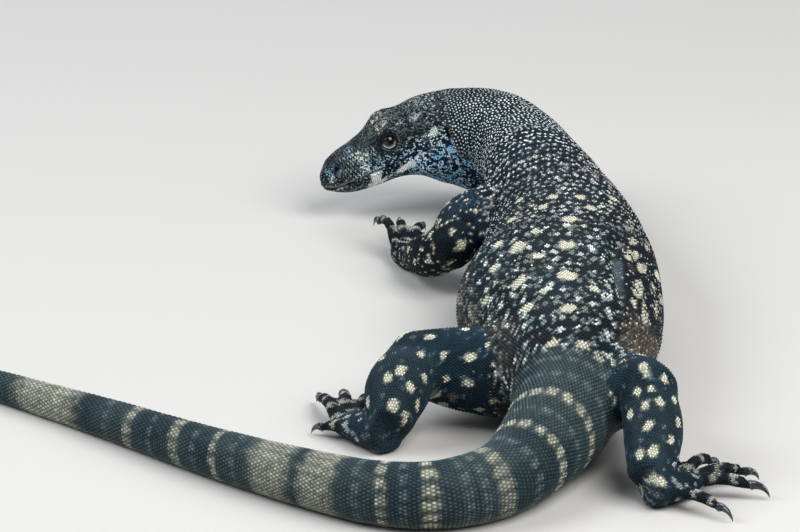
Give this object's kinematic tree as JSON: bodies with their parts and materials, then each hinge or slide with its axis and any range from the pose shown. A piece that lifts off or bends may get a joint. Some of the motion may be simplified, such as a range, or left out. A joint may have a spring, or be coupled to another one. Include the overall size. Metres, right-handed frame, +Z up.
{
  "type": "lace monitor lizard",
  "caption": "Life-size still model of a lace monitor lizard lying on its belly, head turned left, one foreleg forward, long tail swept forward along the floor.",
  "frame": {"origin": "middle of the footprint, on the floor the belly rests on", "axes": "+Z up; +Y the way the trunk points; -X the way the head and the tail turn"},
  "size_m": [0.825, 0.562, 0.0799],
  "materials": {
    "hide": "satin beaded scales",
    "eye": "wet gloss"
  },
  "bodies": {
    "root": {"head": "hide", "eye_left": "eye", "eye_right": "eye", "neck": "hide", "chest": "hide", "torso": "hide", "tail_1": "hide", "tail_2": "hide", "tail_3": "hide", "tail_4": "hide", "tail_5": "hide", "tail_6": "hide", "tail_7": "hide", "upper_arm_left": "hide", "upper_arm_right": "hide", "forearm_left": "hide", "forearm_right": "hide", "hand_left": "hide", "hand_right": "hide", "thigh_left": "hide", "thigh_right": "hide", "shank_left": "hide", "shank_right": "hide", "foot_left": "hide", "foot_right": "hide"}
  },
  "joints": []
}
